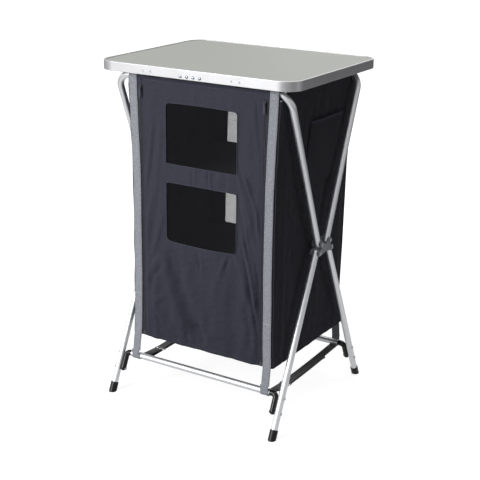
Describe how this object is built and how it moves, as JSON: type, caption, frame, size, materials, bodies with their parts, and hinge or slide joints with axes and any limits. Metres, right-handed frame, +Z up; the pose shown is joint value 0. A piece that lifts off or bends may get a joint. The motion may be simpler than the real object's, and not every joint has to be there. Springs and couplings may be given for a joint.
{
  "type": "camp storage shelf unit",
  "caption": "Clip-on table top over a folding tube frame, with a hanging fabric cabinet that has shelves, mesh windows and a zipped door.",
  "frame": {"origin": "on the floor under the middle of the table top", "axes": "+X along the table's width to the right seen from the front, +Y to the rear, +Z up"},
  "size_m": [0.6, 0.5162, 0.95],
  "materials": {
    "cabinet_cloth": "woven polyester, dark blue-grey, matt",
    "shelf_cloth": "woven polyester over a stiff board, matt",
    "window_net": "open black mesh",
    "zip_tape": "zip tape and coil, black",
    "zip_metal": "dark painted zinc",
    "grey_webbing": "ribbed grey webbing",
    "dark_webbing": "dark grey hook and loop webbing",
    "tube": "satin silver tube",
    "black_plastic": "black moulded plastic",
    "foot_rubber": "black rubber",
    "hub_plastic": "dark grey moulded plastic",
    "rivet_metal": "bright rivet",
    "ring_steel": "bright wire",
    "laminate": "pale grey laminate, satin",
    "band_aluminium": "satin aluminium extrusion"
  },
  "bodies": {
    "cabinet_and_upper_frames": {"back_panel": "cabinet_cloth", "cabinet_floor": "shelf_cloth", "front_left_strap": "grey_webbing", "front_right_strap": "grey_webbing", "front_top_sleeve": "cabinet_cloth", "front_upper_frame": "tube", "hub_pins": "rivet_metal", "left_hub_inner_plate": "hub_plastic", "left_hub_outer_plate": "hub_plastic", "left_side_panel": "cabinet_cloth", "left_zip": "zip_tape", "lower_shelf": "shelf_cloth", "rear_left_strap": "grey_webbing", "rear_lower_window": "window_net", "rear_right_strap": "grey_webbing", "rear_top_sleeve": "cabinet_cloth", "rear_upper_frame": "tube", "rear_upper_window": "window_net", "right_hub_inner_plate": "hub_plastic", "right_hub_outer_plate": "hub_plastic", "right_side_panel": "cabinet_cloth", "right_zip": "zip_tape", "side_pocket": "cabinet_cloth", "upper_shelf": "shelf_cloth"},
    "table_top": {"table_board": "laminate", "edge_band": "band_aluminium", "splice_plate": "band_aluminium", "splice_rivets": "rivet_metal", "clip_rivets": "rivet_metal", "front_left_clip": "black_plastic", "front_right_clip": "black_plastic", "rear_left_clip": "black_plastic", "rear_right_clip": "black_plastic"},
    "front_lower_frame": {"front_rail": "tube", "front_connector_rivets": "rivet_metal", "front_side_straps": "dark_webbing", "front_left_leg": "tube", "front_left_connector": "black_plastic", "front_left_foot_cap": "foot_rubber", "front_right_leg": "tube", "front_right_connector": "black_plastic", "front_right_foot_cap": "foot_rubber", "strap_rings": "ring_steel"},
    "rear_lower_frame": {"rear_rail": "tube", "rear_connector_rivets": "rivet_metal", "rear_side_straps": "dark_webbing", "rear_left_leg": "tube", "rear_left_connector": "black_plastic", "rear_left_foot_cap": "foot_rubber", "rear_right_leg": "tube", "rear_right_connector": "black_plastic", "rear_right_foot_cap": "foot_rubber"},
    "door": {"front_door": "cabinet_cloth", "front_upper_window": "window_net", "front_lower_window": "window_net"},
    "left_slider": {"left_zip_slider": "zip_metal"},
    "right_slider": {"right_zip_slider": "zip_metal"}
  },
  "joints": [
    {"name": "table_lift", "type": "slide", "parent": "cabinet_and_upper_frames", "child": "table_top", "axis": [0, 0, 1], "range_m": [0, 0.2]},
    {"name": "front_leg_fold", "type": "hinge", "parent": "cabinet_and_upper_frames", "child": "front_lower_frame", "pos_m": [0, -0.034, 0.46], "axis": [-1, 0, 0], "range_deg": [0, 125]},
    {"name": "rear_leg_fold", "type": "hinge", "parent": "cabinet_and_upper_frames", "child": "rear_lower_frame", "pos_m": [0, 0.034, 0.46], "axis": [1, 0, 0], "range_deg": [0, 125], "deforming": ["rear_side_straps"]},
    {"name": "door_swing", "type": "hinge", "parent": "cabinet_and_upper_frames", "child": "door", "pos_m": [0, -0.2034, 0.905], "axis": [-1, 0, 0], "range_deg": [0, 90]},
    {"name": "left_zip_run", "type": "slide", "parent": "cabinet_and_upper_frames", "child": "left_slider", "axis": [0, 0, 1], "range_m": [-0.66, 0]},
    {"name": "right_zip_run", "type": "slide", "parent": "cabinet_and_upper_frames", "child": "right_slider", "axis": [0, 0, 1], "range_m": [-0.66, 0]}
  ],
  "couplings": [
    {"joint": "rear_leg_fold", "follows": "front_leg_fold", "ratio": 1}
  ]
}
